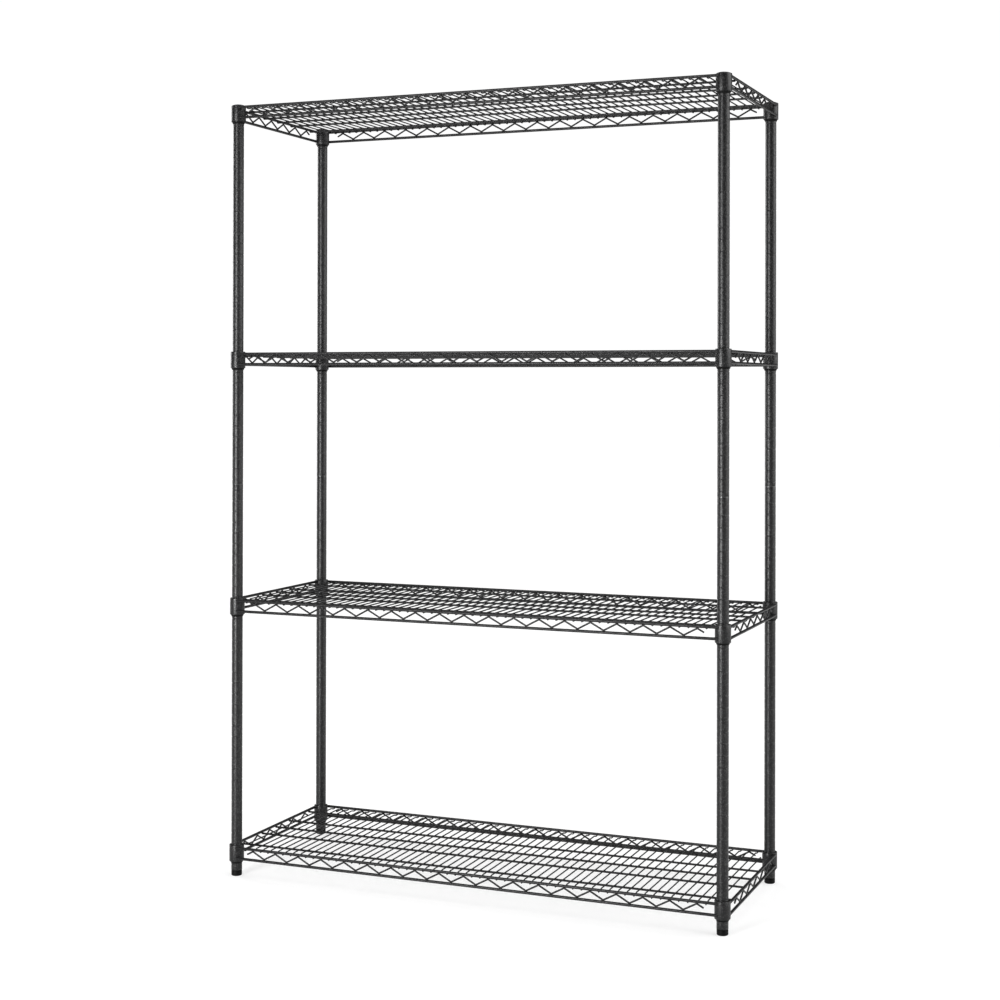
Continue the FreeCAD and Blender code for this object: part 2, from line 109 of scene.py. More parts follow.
# a rail's end is cut to the cope radius round the post, and stops this far short of its axis
RAIL_TIP = 6 * MM
COPE_RADIUS = 16.4 * MM
TRUSS_BEND = 3.5 * MM
TRUSS_TAIL = 15 * MM
RIB_RADIUS = (RIB_HIGH.z - RIB_LOW.z) / 2
RIB_LEVEL = RIB_HIGH.z - RIB_RADIUS - LEVEL
RIB_OUTER = RIB_HIGH.y - RIB_RADIUS
RIB_INNER = RIB_OUTER * 0.4
RIB_ROWS = (-RIB_OUTER, -RIB_INNER, 0.0, RIB_INNER, RIB_OUTER)
DECK_PITCH = 20 * MM
DECK_RADIUS = 1.45 * MM
DECK_LEVEL = DECK_HIGH.z - DECK_RADIUS - LEVEL
DECK_END_LEVEL = DECK_LOW.z + DECK_RADIUS - LEVEL
DECK_END = DECK_HIGH.y
DECK_WIRES = 57
DECK_TUCK = 7 * MM
DECK_SLOPE = 12 * MM
DECK_BEND = 8 * MM
SHORT_WIRE = RIB_OUTER + 3 * MM
TRUSS_RADIUS = (TRUSS_HIGH.y - TRUSS_LOW.y) / 2
TRUSS_PITCH = 60 * MM
LONG_PEAKS = 19
SHORT_PEAKS = 6
TRUSS_HIGH_CORNER = TRUSS_HIGH.z - TRUSS_RADIUS - LEVEL
TRUSS_LOW_CORNER = TRUSS_LOW.z + TRUSS_RADIUS - LEVEL

POST_LOW, POST_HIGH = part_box("lower_post_front_right")
POST_RADIUS = (POST_HIGH.x - POST_LOW.x) / 2
TUBE_WALL = 1.2 * MM
GROOVE_PITCH = 25.4 * MM
GROOVE_MARGIN = 2.5 * MM
FIRST_GROOVE = LEVEL + 20 * MM - GROOVE_PITCH
THREAD_PITCH = 1.5875 * MM
THREAD_DEPTH = 0.85 * MM
THREAD_BORE = 4.82 * MM

# ------------------------------------------------------------------ meshes


class Skin:
    """Vertices and faces gathered from many strips, made into one piece."""

    def __init__(self):
        self.points = []
        self.faces = []

    def add(self, points, faces):
        base = len(self.points)
        self.points.extend(map(tuple, points))
        self.faces.extend(tuple(base + i for i in face) for face in faces)

    def grid(self, rings, closed=True, capped=True):
        """Quads between rings of equal length; flat caps on the first and last.

        With capped="fan" each end is closed by triangles round its own middle."""
        rings = np.asarray(rings)
        count, width = rings.shape[:2]
        faces = []
        span = width if closed else width - 1
        for i in range(count - 1):
            for j in range(span):
                k = (j + 1) % width
                faces.append((i * width + j, i * width + k, (i + 1) * width + k, (i + 1) * width + j))
        points = rings.reshape(-1, 3)
        if capped == "fan":
            last = (count - 1) * width
            for j in range(width):
                k = (j + 1) % width
                faces.append((count * width, k, j))
                faces.append((count * width + 1, last + j, last + k))
            points = np.concatenate([points, rings[0].mean(axis=0)[None], rings[-1].mean(axis=0)[None]])
        elif capped:
            faces.append(tuple(reversed(range(width))))
            faces.append(tuple(range((count - 1) * width, count * width)))
        self.add(points, faces)

    def mesh(self, name, sharp=38):
        data = bpy.data.meshes.new(name)
        data.from_pydata(self.points, [], self.faces)
        data.validate()
        data.polygons.foreach_set("use_smooth", [True] * len(data.polygons))
        data.set_sharp_from_angle(angle=math.radians(sharp))
        data.update()
        return data


def piece(name, data, material, body, node, place=(0, 0, 0)):
    """A shown piece that stands for one CAD node and rides on its body."""
    obj = bpy.data.objects.new(name, data)
    bpy.context.scene.collection.objects.link(obj)
    obj.location = place
    if not data.materials:
        data.materials.append(material)
    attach(obj, body)
    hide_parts(node)
    return obj


def rounded(points, bend, steps=6):
    """The points' polyline with its corners turned into arcs of one radius."""
    points = [np.array(p, float) for p in points]
    path = [points[0]]
    for before, corner, after in zip(points, points[1:], points[2:]):
        back = (before - corner) / np.linalg.norm(before - corner)
        on = (after - corner) / np.linalg.norm(after - corner)
        half_turn = (math.pi - math.acos(np.clip(back @ on, -1, 1))) / 2
        inward = (back + on) / np.linalg.norm(back + on)
        centre = corner + inward * bend / math.cos(half_turn)
        start = corner + back * bend * math.tan(half_turn) - centre
        across = -inward * bend
        sweep = across / bend
        normal = start - sweep * (start @ sweep)
        normal /= np.linalg.norm(normal)
        for step in range(steps + 1):
            angle = half_turn * (1 - 2 * step / steps)
            path.append(centre + bend * (sweep * math.cos(angle) + normal * math.sin(angle)))
    path.append(points[-1])
    return np.array(path)


def tube_rings(path, radius, binormal, sides):
    """Rings round a flat path, whose ends are cut square with a small bevelled edge."""
    path = np.asarray(path, float)
    tangent = np.gradient(path, axis=0)
    tangent[0] = path[1] - path[0]
    tangent[-1] = path[-1] - path[-2]
    tangent /= np.linalg.norm(tangent, axis=1)[:, None]
    binormal = np.asarray(binormal, float)
    normal = np.cross(binormal, tangent)
    angle = np.linspace(0, math.tau, sides, endpoint=False)
    circle = np.cos(angle)[None, :, None] * normal[:, None] + np.sin(angle)[None, :, None] * binormal
    rings = path[:, None] + radius * circle
    edge = 0.22 * radius
    first = path[0] + (radius - edge) * circle[0]
    last = path[-1] + (radius - edge) * circle[-1]
    rings[0] += tangent[0] * edge
    rings[-1] -= tangent[-1] * edge
    return np.concatenate([first[None], rings, last[None]])


def lathe(profile, sides, start=0.0, turn=math.tau):
    """Rings of a turned shape; profile is (radius, height), from bottom to top."""
    closed = turn == math.tau
    angle = np.linspace(start, start + turn, sides, endpoint=not closed)
    profile = np.asarray(profile, float)
    rings = np.empty((len(profile), len(angle), 3))
    rings[..., 0] = profile[:, :1] * np.cos(angle)
    rings[..., 1] = profile[:, :1] * np.sin(angle)
    rings[..., 2] = profile[:, 1:2]
    return rings


def soft_corner(before, corner, after, radius, steps=4):
    """Points of a rounded corner of a profile."""
    path = rounded([(*before, 0), (*corner, 0), (*after, 0)], radius, steps)
    return [(p[0], p[1]) for p in path[1:-1]]


def soft_profile(corners, radii, steps=4):
    """An open profile whose inner corners are rounded by the given radii."""
    points = [corners[0]]
    for index in range(1, len(corners) - 1):
        radius = radii[index - 1]
        if radius:
            points += soft_corner(corners[index - 1], corners[index], corners[index + 1], radius, steps)
        else:
            points.append(corners[index])
    points.append(corners[-1])
    return points


def nugget(skin, centre, half, rng, sides=10, rows=5):
    """A small cast bead of weld: an ellipsoid with an uneven, slumped surface."""
    lump = rng.uniform(0, math.tau)
    rings = []
    for row in range(rows + 1):
        latitude = math.pi * (row + 0.35) / (rows + 0.7) - math.pi / 2
        ring = []
        for column in range(sides):
            longitude = math.tau * column / sides
            swell = 1 + 0.07 * math.sin(2 * longitude + lump) + 0.05 * math.sin(3 * longitude - lump)
            x = half[0] * math.cos(latitude) * math.cos(longitude) * swell
            y = half[1] * math.cos(latitude) * math.sin(longitude) * swell
            ring.append((centre[0] + x, centre[1] + y, centre[2] + half[2] * math.sin(latitude)))
        rings.append(ring)
    skin.grid(rings)


# ------------------------------------------------------------------ shelf meshes


def truss_points(low_end, high_end, peaks, place):
    """Zigzag corners: loose tail, peaks and valleys, loose tail."""
    first = -(peaks - 1) * TRUSS_PITCH / 2
    drop = (high_end - low_end) * TRUSS_TAIL / (TRUSS_PITCH / 2)
    points = [place(first - TRUSS_TAIL, high_end - drop)]
    for number in range(peaks):
        along = first + number * TRUSS_PITCH
        points.append(place(along, high_end))
        if number < peaks - 1:
            points.append(place(along + TRUSS_PITCH / 2, low_end))
    points.append(place(-first + TRUSS_TAIL, high_end - drop))
    return points


def truss_mesh(name, places, peaks, across, seed):
    """Zigzag wires with a weld bead at every peak and valley.

    across is the direction square to each truss's plane."""
    skin = Skin()
    rng = random.Random(seed)
    half_turn = math.atan2(TRUSS_HIGH_CORNER - TRUSS_LOW_CORNER, TRUSS_PITCH / 2)
    spare = TRUSS_BEND / math.cos(half_turn) - TRUSS_BEND
    thick = TRUSS_RADIUS + 0.15 * MM
    high = TRUSS_HIGH_CORNER + spare
    low = TRUSS_LOW_CORNER - spare
    for place in places:
        points = truss_points(low, high, peaks, place)
        skin.grid(tube_rings(rounded(points, TRUSS_BEND, 8), TRUSS_RADIUS, across, 14))
        for number, point in enumerate(points[1:-1]):
            up = number % 2 == 0
            along = 3.4 * MM * rng.uniform(0.9, 1.15)
            half = (along, thick, 1.1 * MM) if across[1] else (thick, along, 1.1 * MM)
            touch = TOP_RAIL - RAIL_RADIUS if up else BOTTOM_RAIL + RAIL_RADIUS
            nugget(skin, (point[0], point[1], touch), half, rng)
    return skin.mesh(name)


def rib_mesh():
    """Long ribs with their ends welded under the end rails."""
    skin = Skin()
    rng = random.Random(5)
    for row in RIB_ROWS:
        path = [(x, row, RIB_LEVEL) for x in np.linspace(-RAIL_X, RAIL_X, 9)]
        skin.grid(tube_rings(path, RIB_RADIUS, (0, 0, 1), 20))
        for end in (-1, 1):
            centre = (end * (RAIL_X - 0.8 * MM), row, (TOP_RAIL + RIB_LEVEL) / 2 - 0.4 * MM)
            nugget(skin, centre, (3.3 * MM, 3.0 * MM, 2.4 * MM), rng)
    return skin.mesh("ribs")


def deck_mesh():
    """Cross wires on the ribs, with a weld at every crossing."""
    skin = Skin()
    rng = random.Random(11)
    outer = RAIL_Y - DECK_TUCK
    inner = outer - DECK_SLOPE
    for number in range(-1, DECK_WIRES + 1):
        x = (number - (DECK_WIRES - 1) / 2) * DECK_PITCH
        short = number in (-1, DECK_WIRES)
        if short:
            path = [(x, y, DECK_LEVEL) for y in np.linspace(-SHORT_WIRE, SHORT_WIRE, 5)]
        else:
            points = [
                (x, -DECK_END, DECK_END_LEVEL),
                (x, -outer, DECK_END_LEVEL),
                (x, -inner, DECK_LEVEL),
                (x, inner, DECK_LEVEL),
                (x, outer, DECK_END_LEVEL),
                (x, DECK_END, DECK_END_LEVEL),
            ]
            path = rounded(points, DECK_BEND, 5)
        skin.grid(tube_rings(path, DECK_RADIUS, (1, 0, 0), 12))
        for row in RIB_ROWS:
            centre = (x, row, RIB_LEVEL + RIB_RADIUS - 0.25 * MM)
            half = (2.1 * MM * rng.uniform(0.9, 1.12), 2.3 * MM * rng.uniform(0.9, 1.12), 0.95 * MM)
            nugget(skin, centre, half, rng, 8, 3)
        if not short:
            for end in (-1, 1):
                centre = (x, end * (RAIL_Y - 0.4 * MM), TOP_RAIL - RAIL_RADIUS + 0.15 * MM)
                nugget(skin, centre, (2.1 * MM, 2.0 * MM, 0.95 * MM), rng, 8, 3)
    return skin.mesh("deck_wires")


def coped_bar(skin, post, lateral, level, turn, sides=28):
    """One rail between two collars, its inner side cut back to the collars' walls.

    The bar lies along X at y = lateral, then turns about Z by turn."""
    outward = math.copysign(1, lateral)
    angle = np.linspace(0, math.tau, sides, endpoint=False) + math.pi / sides
    across = RAIL_RADIUS * np.cos(angle)
    up = RAIL_RADIUS * np.sin(angle)
    from_post = RAIL_X - POST_X + across
    stop = np.maximum(np.sqrt(np.maximum(COPE_RADIUS**2 - from_post**2, 0)), RAIL_TIP)

    def ring(along, share=1.0):
        return np.stack([along + 0 * across, lateral + outward * across * share, up * share], axis=1)

    # the tips are rounded over by their weld, and catch the light
    tip = post - stop
    eased = ((0.0, 0.55), (0.3 * MM, 0.8), (0.9 * MM, 0.95), (1.8 * MM, 1.0))
    first = [ring(back - tip, share) for back, share in eased]
    middles = [ring(share * (post - 25 * MM)) for share in np.linspace(-0.9, 0.9, 7)]
    last = [ring(tip - back, share) for back, share in reversed(eased)]
    rings = np.array(first + middles + last)
    if outward < 0:
        rings = rings[::-1]
    c, s = math.cos(turn), math.sin(turn)
    rings = rings @ np.array([[c, s, 0], [-s, c, 0], [0, 0, 1]])
    rings[..., 2] += level
    skin.grid(rings, capped="fan")


def weld_seam(skin, post_x, post_y, along, outward, level, rng):
    """The fillet of weld where a rail runs into a collar's wall.

    along and outward are unit vectors: down the rail, and square to it."""
    offset = RAIL_X - POST_X
    start = math.acos((math.sqrt(COLLAR_RADIUS**2 - RAIL_TIP**2) - offset) / RAIL_RADIUS)
    points = []
    for step in range(21):
        angle = start + (math.tau - 2 * start) * step / 20
        out = offset + RAIL_RADIUS * math.cos(angle)
        run = math.sqrt(max(COLLAR_RADIUS**2 - out**2, 0))
        points.append((run, out, RAIL_RADIUS * math.sin(angle)))
    path = []
    for run, out, up in points:
        centre = np.array((post_x, post_y, level + up))
        path.append(centre + run * np.array(along) + out * np.array(outward))
    path = np.array(path)
    tangent = np.gradient(path, axis=0)
    tangent /= np.linalg.norm(tangent, axis=1)[:, None]
    radial = path - np.array((post_x, post_y, 0))
    radial[:, 2] = 0
    radial /= np.linalg.norm(radial, axis=1)[:, None]
    square = np.cross(tangent, radial)
    angle = np.linspace(0, math.tau, 8, endpoint=False)
    rings = []
    for index in range(len(path)):
        size = 0.85 * MM * (1 + 0.16 * math.sin(index * 1.9) + rng.uniform(-0.08, 0.08))
        if index in (0, len(path) - 1):
            size *= 0.55
        circle = np.cos(angle)[:, None] * radial[index] * 0.75 + np.sin(angle)[:, None] * square[index]
        rings.append(path[index] + size * circle)
    skin.grid(rings)


def rail_mesh(name, level, seed):
    """Four perimeter rails, welded into the collars' walls."""
    skin = Skin()
    rng = random.Random(seed)
    for sign in (-1, 1):
        coped_bar(skin, POST_X, sign * RAIL_Y, level, 0)
        coped_bar(skin, POST_Y, sign * RAIL_X, level, -math.pi / 2)
    for corner in CORNERS:
        x, y = side(corner)
        weld_seam(skin, x * POST_X, y * POST_Y, (-x, 0, 0), (0, y, 0), level, rng)
        weld_seam(skin, x * POST_X, y * POST_Y, (0, -y, 0), (x, 0, 0), level, rng)
    return skin.mesh(name)


def collar_mesh():
    """Four turned collars: rounded outer edges and a tapered bore."""
    skin = Skin()
    bore_start = (BORE_KNEE_RADIUS, COLLAR_BOTTOM + 1.0 * MM)
    corners = [
        bore_start,
        (BORE_KNEE_RADIUS, COLLAR_BOTTOM),
        (COLLAR_RADIUS, COLLAR_BOTTOM),
        (COLLAR_RADIUS, COLLAR_TOP),
        (BORE_TOP_RADIUS, COLLAR_TOP),
        (BORE_TOP_RADIUS, COLLAR_TOP - 1.0 * MM),
    ]
    profile = soft_profile(corners, (0.35 * MM, 0.7 * MM, 1.1 * MM, 0.45 * MM))
    # from the bore's top down to its foot, then round the outside
    profile = [profile[-1], bore_start] + profile[1:]
    for corner in CORNERS:
        x, y = side(corner)
        rings = lathe(profile, 72) + np.array((x * POST_X, y * POST_Y, 0))
        skin.grid(rings, capped=False)
    return skin.mesh("collars", 50)


def sleeve_mesh():
    """Split sleeves: two tapered halves at each corner, with a bevelled lower end."""
    skin = Skin()
    inner = POST_RADIUS + 0.03 * MM
    corners = [
        (inner, 0.4 * MM),
        (inner, 0.0),
        (SLEEVE_END_RADIUS, 0.0),
        (SLEEVE_KNEE_RADIUS, SLEEVE_KNEE),
        (SLEEVE_TOP_RADIUS, SLEEVE_TOP),
        (inner, SLEEVE_TOP),
        (inner, SLEEVE_TOP - 0.4 * MM),
    ]
    profile = soft_profile(corners, (0.15 * MM, 0.3 * MM, 0.9 * MM, 0.35 * MM, 0.2 * MM))
    for corner in CORNERS:
        x, y = side(corner)
        for half in (0, 1):
            start = SLEEVE_SLIT / 2 - math.pi / 2 + half * math.pi
            rings = lathe(profile, 40, start, math.pi - SLEEVE_SLIT)
            rings += np.array((x * POST_X, y * POST_Y, 0))
            count, width = rings.shape[:2]
            skin.grid(rings, closed=False, capped=False)
            base = len(skin.points) - count * width
            last = base + (count - 1) * width
            # the bore and the two split faces close each half
            skin.faces.extend((base + j + 1, base + j, last + j, last + j + 1) for j in range(width - 1))
            skin.faces.append(tuple(base + i * width for i in reversed(range(count))))
            skin.faces.append(tuple(base + i * width + width - 1 for i in range(count)))
    return skin.mesh("sleeves", 35)


# ------------------------------------------------------------------ post meshes


def tube_profile(low, high):
    """Outside of a post tube with softly rolled grooves at every pitch."""
    radius = POST_RADIUS
    bore = POST_RADIUS - TUBE_WALL
    points = [(bore, low + 0.3 * MM), (bore, low), (radius - 0.35 * MM, low)]
    points.append((radius - 0.1 * MM, low + 0.1 * MM))
    points.append((radius, low + 0.35 * MM))
    steps = math.ceil((low + GROOVE_MARGIN - FIRST_GROOVE) / GROOVE_PITCH)
    groove = FIRST_GROOVE + max(steps, 0) * GROOVE_PITCH
    half = 1.3 * MM
    depth = 0.5 * MM
    lip = 0.3 * MM
    while groove < high - GROOVE_MARGIN:
        # a plain ring beside each groove keeps the tube's shading straight up to it
        points.append((radius, groove - half - lip))
        for step in range(-4, 5):
            share = step / 4
            dip = depth * (0.5 + 0.5 * math.cos(math.pi * share))
            points.append((radius - dip, groove + half * share))
        points.append((radius, groove + half + lip))
        groove += GROOVE_PITCH
    points.append((radius, high - 0.35 * MM))
    points.append((radius - 0.1 * MM, high - 0.1 * MM))
    points += [(radius - 0.35 * MM, high), (bore, high), (bore, high - 0.3 * MM)]
    return points


def tube_mesh(name, node):
    """One post tube: a grooved outside and a plain bore."""
    low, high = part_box(node)
    skin = Skin()
    skin.grid(lathe(tube_profile(low.z, high.z), 48), capped=False)
    # the bore, plain, from end to end
    bore = POST_RADIUS - TUBE_WALL
    ends = [(bore, high.z - 0.3 * MM), (bore, low.z + 0.3 * MM)]
    skin.grid(lathe(ends, 48), capped=False)
    return skin.mesh(name, 45)


def cap_mesh():
    """Domed post cap with a soft rim and a faint ring moulded into the dome."""
    low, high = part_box("post_cap_front_right")
    rim = (high.x - low.x) / 2
    seat = high.z - 4.2 * MM
    top = high.z
    spigot = POST_RADIUS - 1.25 * MM
    profile = [(0.02 * MM, low.z), (spigot - 0.8 * MM, low.z), (spigot, low.z + 0.8 * MM), (spigot, seat)]
    profile += [(rim - 0.25 * MM, seat), (rim - 0.05 * MM, seat + 0.12 * MM)]
    profile += [(rim, seat + 0.35 * MM), (rim, seat + 0.8 * MM)]
    rise = top - seat - 1.0 * MM
    for step in range(1, 15):
        share = step / 14
        radius = rim * math.cos(share * math.pi / 2)
        height = seat + 1.0 * MM + rise * math.sin(share * math.pi / 2) ** 0.92
        if 0.40 < radius / rim < 0.52:
            height -= 0.12 * MM
        profile.append((max(radius, 0.02 * MM), height))
    skin = Skin()
    skin.grid(lathe(profile, 64))
    return skin.mesh("post_cap", 50)


def pad_mesh():
    """Levelling foot: a moulded drum with a chamfered base, a stepped top and the stem's bore."""
    low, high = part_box("foot_pad_front_right")
    radius = (high.x - low.x) / 2
    corners = [
        (0.5 * MM, 0.25 * MM),
        (radius - 3.4 * MM, 0.25 * MM),
        (radius - 3.0 * MM, 0.0),
        (radius - 1.4 * MM, 0.0),
        (radius, 1.4 * MM),
        (radius, high.z - 1.0 * MM),
        (radius - 1.0 * MM, high.z - 0.95 * MM),
        (radius - 1.1 * MM, high.z),
        (THREAD_BORE, high.z),
        (THREAD_BORE, 3.0 * MM),
        (0.02 * MM, 3.0 * MM),
    ]
    radii = (0, 0, 0.5 * MM, 0.8 * MM, 0.45 * MM, 0.2 * MM, 0.25 * MM, 0.3 * MM, 0)
    skin = Skin()
    skin.grid(lathe(soft_profile(corners, radii), 64))
    return skin.mesh("foot_pad", 50)


def stem_mesh():
    """Threaded stem with a true helical thread."""
    low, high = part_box("foot_stem_front_right")
    major = (high.x - low.x) / 2
    sides = 32
    rows_per_turn = 8
    rows = int((high.z - low.z) / THREAD_PITCH * rows_per_turn)
    angle = np.linspace(0, math.tau, sides, endpoint=False)
    rings = []
    for row in range(rows + 1):
        height = low.z + (high.z - low.z) * row / rows
        phase = (height / THREAD_PITCH - angle / math.tau) % 1.0
        tooth = np.abs(phase - 0.5) * 2
        radius = major - THREAD_DEPTH * np.clip(tooth * 1.25 - 0.12, 0, 1)
        taper = min(height - low.z, high.z - height) / (1.2 * MM)
        radius = np.minimum(radius, major - THREAD_DEPTH + THREAD_DEPTH * min(taper, 1.0))
        ring = [radius * np.cos(angle), radius * np.sin(angle), np.full(sides, height)]
        rings.append(np.stack(ring, axis=1))
    skin = Skin()
    skin.grid(rings)
    return skin.mesh("foot_stem", 60)


# ------------------------------------------------------------------ materials


class Nodes:
    """A small helper that builds one Principled material."""

    def __init__(self, name, **values):
        self.material = bpy.data.materials.new(name)
        self.material.use_nodes = True
        self.tree = self.material.node_tree
        self.shader = self.tree.nodes["Principled BSDF"]
        for socket, value in values.items():
            self.shader.inputs[socket.replace("_", " ")].default_value = value
        coordinates = self.tree.nodes.new("ShaderNodeTexCoord")
        self.place = coordinates.outputs["Object"]

    def plug(self, socket, value):
        """Link another node's output to a socket, or set the socket to a plain value."""
        if isinstance(value, bpy.types.NodeSocket):
            self.tree.links.new(value, socket)
        else:
            socket.default_value = value

    def node(self, kind, inputs=None, **settings):
        node = self.tree.nodes.new(kind)
        for name, value in settings.items():
            setattr(node, name, value)
        for name, value in (inputs or {}).items():
            self.plug(node.inputs[name], value)
        return node

    def noise(self, grain, detail=3.0, roughness=0.55, vector=None, distortion=0.0):
        """Noise whose features are about grain metres across."""
        inputs = {
            "Vector": vector or self.place,
            "Scale": 1 / grain,
            "Detail": detail,
            "Roughness": roughness,
            "Distortion": distortion,
        }
        return self.node("ShaderNodeTexNoise", inputs).outputs["Fac"]

    def ramp(self, value, low, high, to_low=0.0, to_high=1.0):
        inputs = {
            "Value": value,
            "From Min": low,
            "From Max": high,
            "To Min": to_low,
            "To Max": to_high,
        }
        return self.node("ShaderNodeMapRange", inputs).outputs["Result"]

    def mix(self, share, first, second):
        node = self.node("ShaderNodeMix", data_type="RGBA")
        # the colour sockets of this node are 6 and 7, and its colour output is 2
        self.plug(node.inputs[0], share)
        self.plug(node.inputs[6], first)
        self.plug(node.inputs[7], second)
        return node.outputs[2]

    def math(self, operation, first, second):
        node = self.node("ShaderNodeMath", operation=operation)
        self.plug(node.inputs[0], first)
        self.plug(node.inputs[1], second)
        return node.outputs[0]

    def bump(self, height, distance, strength=1.0, before=None):
        inputs = {"Height": height, "Distance": distance, "Strength": strength}
        if before:
            inputs["Normal"] = before
        return self.node("ShaderNodeBump", inputs).outputs["Normal"]

    def set(self, socket, value):
        self.tree.links.new(value, self.shader.inputs[socket])


def powder_coat(name, gloss, dark, light, fleck, shift):
    """Charcoal powder coat: hammered mottling of a few millimetres over sandy grain."""
    m = Nodes(name, Metallic=0.0, IOR=1.5, Specular_IOR_Level=gloss)
    # shifted, so that the three coats don't repeat each other's pattern
    place = m.node("ShaderNodeVectorMath", {0: m.place, 1: shift}, operation="ADD").outputs[0]
    sand = m.noise(0.7 * MM, 3, 0.6, place)
    hammer = m.noise(2.8 * MM, 2, 0.5, place)
    mottle = m.noise(3.4 * MM, 3, 0.6, place)
    cloud = m.noise(70 * MM, 2, 0.5, place)
    tone = m.math("ADD", m.ramp(mottle, 0.3, 0.7, 0.0, 0.65), m.ramp(cloud, 0.35, 0.65, 0.0, 0.35))
    base = m.mix(tone, dark, light)
    specks = m.ramp(hammer, 0.52, 0.66, 0.0, 1.0)
    m.set("Base Color", m.mix(specks, base, fleck))
    rough = m.math("ADD", m.ramp(mottle, 0.25, 0.75, 0.29, 0.41), m.ramp(sand, 0.3, 0.7, -0.05, 0.06))
    m.set("Roughness", rough)
    coarse = m.bump(hammer, 0.42 * MM, 1.0)
    m.set("Normal", m.bump(sand, 0.10 * MM, 0.9, coarse))
    return m.material


def moulded_plastic(name, gloss, dark, light, rough):
    """Black moulded plastic: fine spark-eroded grain, faint flow marks, scuffs."""
    m = Nodes(name, Metallic=0.0, IOR=1.47, Specular_IOR_Level=gloss)
    grain = m.noise(0.35 * MM, 3, 0.6)
    flow = m.noise(9 * MM, 3, 0.55, distortion=1.2)
    scuff = m.noise(1.6 * MM, 4, 0.7)
    base = m.mix(m.ramp(flow, 0.3, 0.7), dark, light)
    m.set("Base Color", m.mix(m.ramp(scuff, 0.62, 0.8, 0.0, 0.35), base, (0.03, 0.03, 0.031, 1)))
    worn = m.ramp(scuff, 0.3, 0.7, rough - 0.06, rough + 0.08)
    m.set("Roughness", m.math("ADD", worn, m.ramp(grain, 0.3, 0.7, -0.04, 0.04)))
    m.set("Normal", m.bump(grain, 0.05 * MM, 0.6))
    return m.material


def zinc_plate():
    """Dull zinc plate with a brushed drawing direction and cloudy passivation."""
    m = Nodes("zinc_plate", Metallic=1.0)
    stretched = m.node("ShaderNodeMapping", {"Vector": m.place, "Scale": (1.0, 1.0, 14.0)}).outputs[0]
    brushed = m.noise(0.5 * MM, 3, 0.6, stretched)
    cloud = m.noise(3.5 * MM, 3, 0.6)
    base = m.mix(m.ramp(cloud, 0.3, 0.7), (0.20, 0.205, 0.21, 1), (0.33, 0.335, 0.33, 1))
    m.set("Base Color", base)
    m.set("Roughness", m.ramp(cloud, 0.3, 0.7, 0.24, 0.42))
    m.set("Normal", m.bump(brushed, 0.03 * MM, 0.5))
    return m.material


POST_COAT = powder_coat(
    "post_powder_coat",
    gloss=0.45,
    dark=(0.004, 0.004, 0.0042, 1),
    light=(0.011, 0.011, 0.0115, 1),
    fleck=(0.042, 0.042, 0.043, 1),
    shift=(0, 0, 0),
)
COLLAR_COAT = powder_coat(
    "collar_powder_coat",
    gloss=0.45,
    dark=(0.004, 0.004, 0.0042, 1),
    light=(0.010, 0.010, 0.0105, 1),
    fleck=(0.038, 0.038, 0.039, 1),
    shift=(0.31, 0.17, 0.05),
)
WIRE_COAT = powder_coat(
    "wire_powder_coat",
    gloss=0.34,
    dark=(0.005, 0.005, 0.0052, 1),
    light=(0.010, 0.010, 0.0104, 1),
    fleck=(0.022, 0.022, 0.023, 1),
    shift=(0.71, 0.43, 0.29),
)
BLACK = (0.0015, 0.0015, 0.0016, 1)
NEAR_BLACK = (0.003, 0.003, 0.0031, 1)
CAP_DARK = (0.011, 0.011, 0.012, 1)
CAP_LIGHT = (0.018, 0.018, 0.019, 1)
CAP_PLASTIC = moulded_plastic("cap_black_plastic", 0.45, CAP_DARK, CAP_LIGHT, rough=0.42)
FOOT_PLASTIC = moulded_plastic("foot_black_plastic", 0.18, BLACK, NEAR_BLACK, rough=0.5)
SLEEVE_PLASTIC = moulded_plastic("sleeve_black_plastic", 0.2, BLACK, NEAR_BLACK, rough=0.5)
ZINC = zinc_plate()

# ------------------------------------------------------------------ assembly


def make_shelves():
    """Four like shelves, each on the heights of its own sleeves."""
    front = [lambda a, z: (a, -RAIL_Y, z)]
    rear = [lambda a, z: (a, RAIL_Y, z)]
    ends = [lambda a, z: (-RAIL_X, a, z), lambda a, z: (RAIL_X, a, z)]
    meshes = {
        "collars": collar_mesh(),
        "top_rails": rail_mesh("top_rails", TOP_RAIL, 21),
        "bottom_rails": rail_mesh("bottom_rails", BOTTOM_RAIL, 22),
        "front_truss": truss_mesh("front_truss", front, LONG_PEAKS, (0, 1, 0), 31),
        "rear_truss": truss_mesh("rear_truss", rear, LONG_PEAKS, (0, 1, 0), 32),
        "end_trusses": truss_mesh("end_trusses", ends, SHORT_PEAKS, (1, 0, 0), 33),
        "ribs": rib_mesh(),
        "deck_wires": deck_mesh(),
    }
    sleeves = sleeve_mesh()
    for number in SHELVES:
        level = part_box(f"shelf_{number}_sleeves")[0].z
        for name, data in meshes.items():
            material, slot = WIRE_COAT, "wire_coat"
            if name == "collars":
                material, slot = COLLAR_COAT, "collar_coat"
            node = f"shelf_{number}_{name}"
            piece(f"{node}_shown", data, material, f"shelf_{number}", node, (0, 0, level))
        node = f"shelf_{number}_sleeves"
        piece(f"{node}_shown", sleeves, SLEEVE_PLASTIC, "root", node, (0, 0, level))


